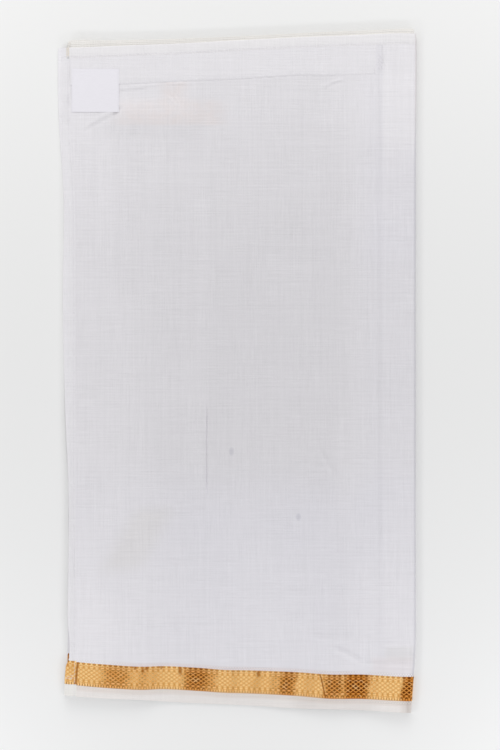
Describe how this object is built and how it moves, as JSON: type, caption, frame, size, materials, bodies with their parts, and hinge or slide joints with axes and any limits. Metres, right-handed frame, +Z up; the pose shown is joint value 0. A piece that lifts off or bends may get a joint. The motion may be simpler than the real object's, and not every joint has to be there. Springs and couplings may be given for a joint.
{
  "type": "folded dhoti cloth",
  "caption": "White cotton dhoti with a gold zari border and cream selvedge, folded flat into a long rectangle, with a stitched end hem, a waist band and a blank label.",
  "frame": {"origin": "middle of the folded pack, on the surface that it lies on", "axes": "+Z up, out of the face that shows; +Y towards the top hem and waist band, -Y towards the zari border; -X towards the end hem, +X towards the last fold"},
  "size_m": [0.3412, 0.6501, 0.0092],
  "materials": {
    "white_cotton": "thin white plain-weave cotton, slightly see-through, matt",
    "gold_zari": "gold metallic thread woven in a small scale pattern, soft metallic sheen",
    "cream_selvedge": "cream plain-weave cotton, denser than the ground, matt",
    "label_satin": "white woven satin, faint sheen, blank"
  },
  "bodies": {
    "root": {"top_panel": "white_cotton", "end_hem": "white_cotton", "top_hem": "white_cotton", "waist_band": "white_cotton", "zari_border": "gold_zari", "selvedge": "cream_selvedge", "label": "label_satin", "folded_layers": "cream_selvedge"}
  },
  "joints": []
}
